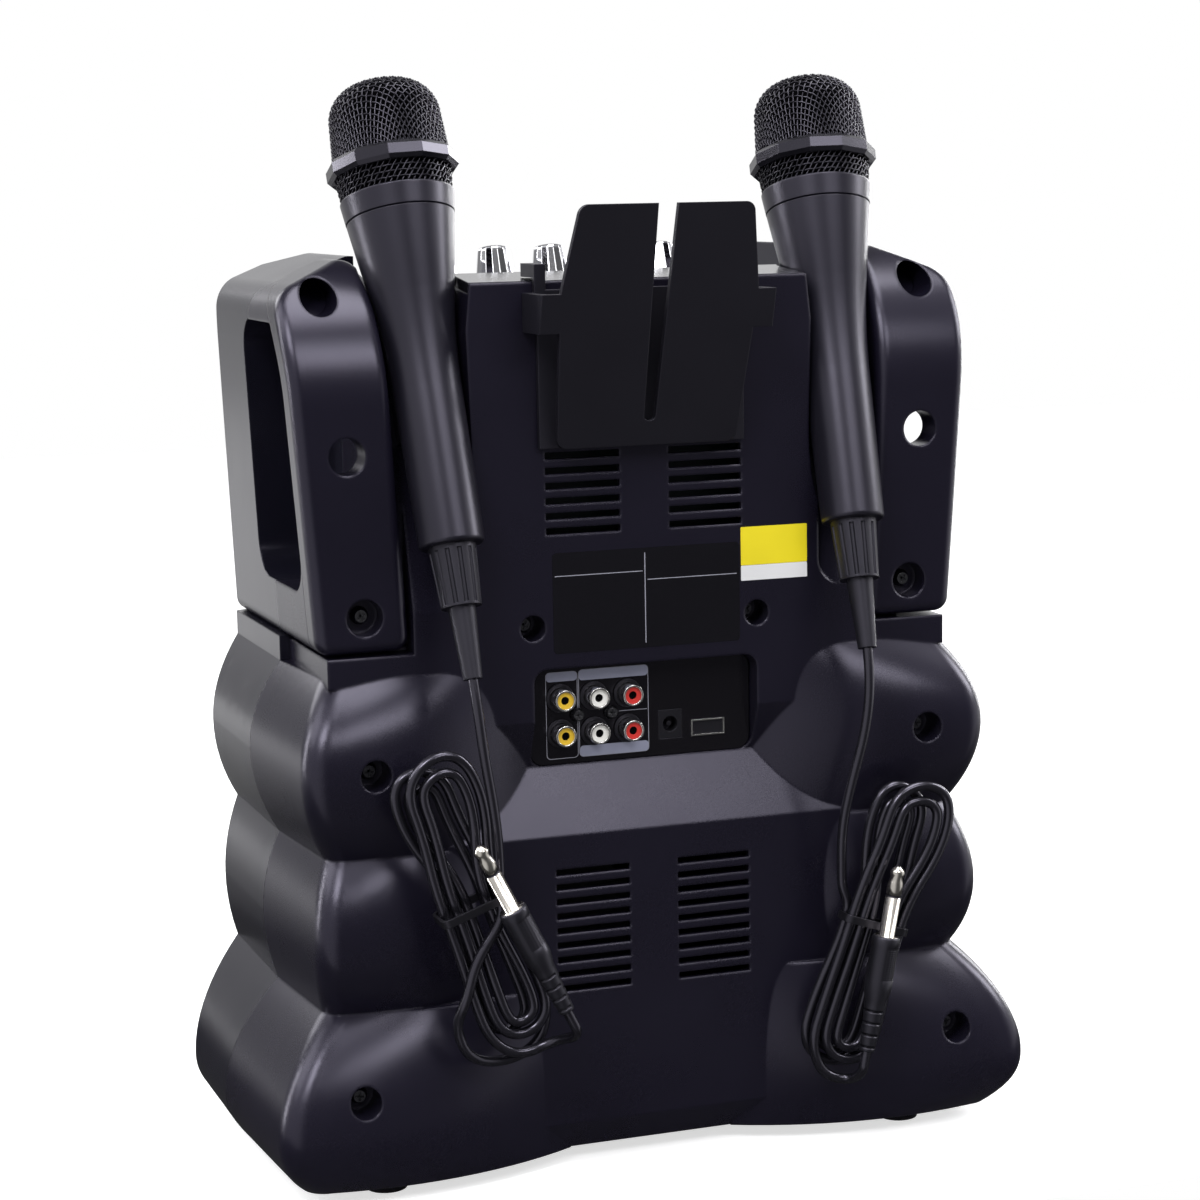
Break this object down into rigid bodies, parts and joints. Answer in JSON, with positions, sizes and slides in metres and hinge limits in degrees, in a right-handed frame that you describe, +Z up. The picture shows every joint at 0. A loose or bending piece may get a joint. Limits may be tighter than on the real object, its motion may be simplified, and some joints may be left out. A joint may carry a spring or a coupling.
{
  "type": "karaoke machine",
  "caption": "Lobed upright karaoke cabinet with side handles, parked corded microphones, clip-on phone holder, rear jack panel, top knobs, front screen, disc tray and speaker",
  "frame": {"origin": "on the floor under the middle of the object without its cords", "axes": "+Z up, +Y toward the screen front, -Y toward the back with the jacks, +X to the right seen from behind"},
  "size_m": [0.3168, 0.211, 0.4212],
  "materials": {
    "cabinet_rear": "satin, fine moulded grain",
    "cabinet_front": "gloss dark graphite",
    "handle_plastic": "satin, fine moulded grain",
    "deck_gloss": "gloss black",
    "foot_rubber": "matt",
    "screw_steel": "blackened",
    "jack_gloss": "gloss black with plain printed frames",
    "nickel": "bright nickel",
    "socket_black": "satin",
    "pot_metal": "satin",
    "holder_plastic": "matt, faint grain",
    "cradle_plastic": "satin",
    "bezel_gloss": "gloss black",
    "screen_glass": "dark display",
    "grille_plastic": "satin",
    "speaker_steel": "black",
    "cone_paper": "pressed paper",
    "magnet_ferrite": "ferrite",
    "tray_plastic": "satin",
    "gear_plastic": "natural nylon",
    "motor_steel": "plated",
    "chassis_plastic": "satin",
    "board_green": "solder mask",
    "insert_yellow": "glossy",
    "insert_white": "glossy",
    "insert_red": "glossy",
    "knob_chrome": "bright chrome",
    "button_plastic": "glossy",
    "mic_plastic": "satin charcoal",
    "mic_mesh": "dark woven wire",
    "ring_gloss": "gloss dark grey",
    "boot_rubber": "satin",
    "cord_vinyl": "soft gloss",
    "tie_vinyl": "satin",
    "plug_metal": "nickel pin, black moulded body"
  },
  "bodies": {
    "cabinet": {"rear_shell": "cabinet_rear", "front_shell": "cabinet_front", "top_deck": "deck_gloss", "feet": "foot_rubber", "case_screws": "screw_steel", "jack_plate": "jack_gloss", "rca_shells": "nickel", "dc_socket": "socket_black", "usb_socket": "nickel", "potentiometers": "pot_metal", "mic_cradles": "cradle_plastic", "screen_bezel": "bezel_gloss", "screen_panel": "screen_glass", "speaker_grille": "grille_plastic", "speaker_frame": "speaker_steel", "speaker_magnet": "magnet_ferrite", "front_jacks": "nickel", "tray_motor": "motor_steel", "loader_chassis": "chassis_plastic", "sled_rods": "motor_steel", "main_board": "board_green", "rca_video_inserts": "insert_yellow", "rca_left_inserts": "insert_white", "rca_right_inserts": "insert_red", "handle_cover_left": "handle_plastic", "handle_cover_right": "handle_plastic"},
    "mic_left": {"mic_handle_left": "mic_plastic", "mic_grille_left": "mic_mesh", "mic_ring_left": "ring_gloss", "mic_boot_left": "boot_rubber", "mic_cord_left": "cord_vinyl", "mic_hank_left": "cord_vinyl", "mic_tie_left": "tie_vinyl", "mic_plug_left": "plug_metal"},
    "mic_right": {"mic_handle_right": "mic_plastic", "mic_grille_right": "mic_mesh", "mic_ring_right": "ring_gloss", "mic_boot_right": "boot_rubber", "mic_cord_right": "cord_vinyl", "mic_hank_right": "cord_vinyl", "mic_tie_right": "tie_vinyl", "mic_plug_right": "plug_metal"},
    "holder": {"phone_holder": "holder_plastic"},
    "tray": {"disc_tray": "tray_plastic", "tray_door": "cabinet_front"},
    "tray_pinion_body": {"tray_pinion": "gear_plastic"},
    "disc_spindle_body": {"disc_spindle": "gear_plastic"},
    "laser_sled_body": {"laser_sled": "chassis_plastic"},
    "speaker_cone_body": {"speaker_cone": "cone_paper"},
    "knob_1_body": {"knob_1": "knob_chrome"},
    "knob_2_body": {"knob_2": "knob_chrome"},
    "knob_3_body": {"knob_3": "knob_chrome"},
    "knob_4_body": {"knob_4": "knob_chrome"},
    "knob_5_body": {"knob_5": "knob_chrome"},
    "knob_6_body": {"knob_6": "knob_chrome"},
    "button_1_body": {"button_1": "button_plastic"},
    "button_2_body": {"button_2": "button_plastic"},
    "button_3_body": {"button_3": "button_plastic"},
    "button_4_body": {"button_4": "button_plastic"}
  },
  "joints": [
    {"name": "knob_1_turn", "type": "hinge", "parent": "cabinet", "child": "knob_1_body", "pos_m": [-0.0585, 0.00425, 0.3383], "axis": [0, 0.2079, 0.9781], "range_deg": [-150, 150]},
    {"name": "knob_2_turn", "type": "hinge", "parent": "cabinet", "child": "knob_2_body", "pos_m": [-0.0351, 0.00425, 0.3383], "axis": [0, 0.2079, 0.9781], "range_deg": [-150, 150]},
    {"name": "knob_3_turn", "type": "hinge", "parent": "cabinet", "child": "knob_3_body", "pos_m": [-0.0117, 0.00425, 0.3383], "axis": [0, 0.2079, 0.9781], "range_deg": [-150, 150]},
    {"name": "knob_4_turn", "type": "hinge", "parent": "cabinet", "child": "knob_4_body", "pos_m": [0.0117, 0.00425, 0.3383], "axis": [0, 0.2079, 0.9781], "range_deg": [-150, 150]},
    {"name": "knob_5_turn", "type": "hinge", "parent": "cabinet", "child": "knob_5_body", "pos_m": [0.0351, 0.00425, 0.3383], "axis": [0, 0.2079, 0.9781], "range_deg": [-150, 150]},
    {"name": "knob_6_turn", "type": "hinge", "parent": "cabinet", "child": "knob_6_body", "pos_m": [0.0585, 0.00425, 0.3383], "axis": [0, 0.2079, 0.9781], "range_deg": [-150, 150]},
    {"name": "button_1_press", "type": "slide", "parent": "cabinet", "child": "button_1_body", "axis": [0, -0.2079, -0.9781], "range_m": [0, 0.0015], "stiffness_N_per_m": 400},
    {"name": "button_2_press", "type": "slide", "parent": "cabinet", "child": "button_2_body", "axis": [0, -0.2079, -0.9781], "range_m": [0, 0.0015], "stiffness_N_per_m": 400},
    {"name": "button_3_press", "type": "slide", "parent": "cabinet", "child": "button_3_body", "axis": [0, -0.2079, -0.9781], "range_m": [0, 0.0015], "stiffness_N_per_m": 400},
    {"name": "button_4_press", "type": "slide", "parent": "cabinet", "child": "button_4_body", "axis": [0, -0.2079, -0.9781], "range_m": [0, 0.0015], "stiffness_N_per_m": 400},
    {"name": "tray_slide", "type": "slide", "parent": "cabinet", "child": "tray", "axis": [0, 1, 0], "range_m": [0, 0.112]},
    {"name": "pinion_turn", "type": "hinge", "parent": "cabinet", "child": "tray_pinion_body", "pos_m": [-0.046, 0.07175, 0.14], "axis": [0, 0, 1], "range_deg": [0, 1070.02]},
    {"name": "spindle_spin", "type": "hinge", "parent": "cabinet", "child": "disc_spindle_body", "pos_m": [0, 0.02225, 0.139], "axis": [0, 0, 1], "continuous": true},
    {"name": "sled_slide", "type": "slide", "parent": "cabinet", "child": "laser_sled_body", "axis": [0, 1, 0], "range_m": [-0.0125, 0.0125]},
    {"name": "cone_move", "type": "slide", "parent": "cabinet", "child": "speaker_cone_body", "axis": [0, 1, 0], "range_m": [-0.002, 0.002], "stiffness_N_per_m": 1500},
    {"name": "mic_left_pull", "type": "slide", "parent": "cabinet", "child": "mic_left", "axis": [-0.0123, -0.9455, 0.3253], "range_m": [0, 0.07]},
    {"name": "mic_right_pull", "type": "slide", "parent": "cabinet", "child": "mic_right", "axis": [0.0123, -0.9455, 0.3253], "range_m": [0, 0.07]},
    {"name": "holder_lift", "type": "slide", "parent": "cabinet", "child": "holder", "axis": [0, 0, 1], "range_m": [0, 0.06]}
  ],
  "couplings": [
    {"joint": "pinion_turn", "follows": "tray_slide", "rad_per_m": 166.67}
  ]
}
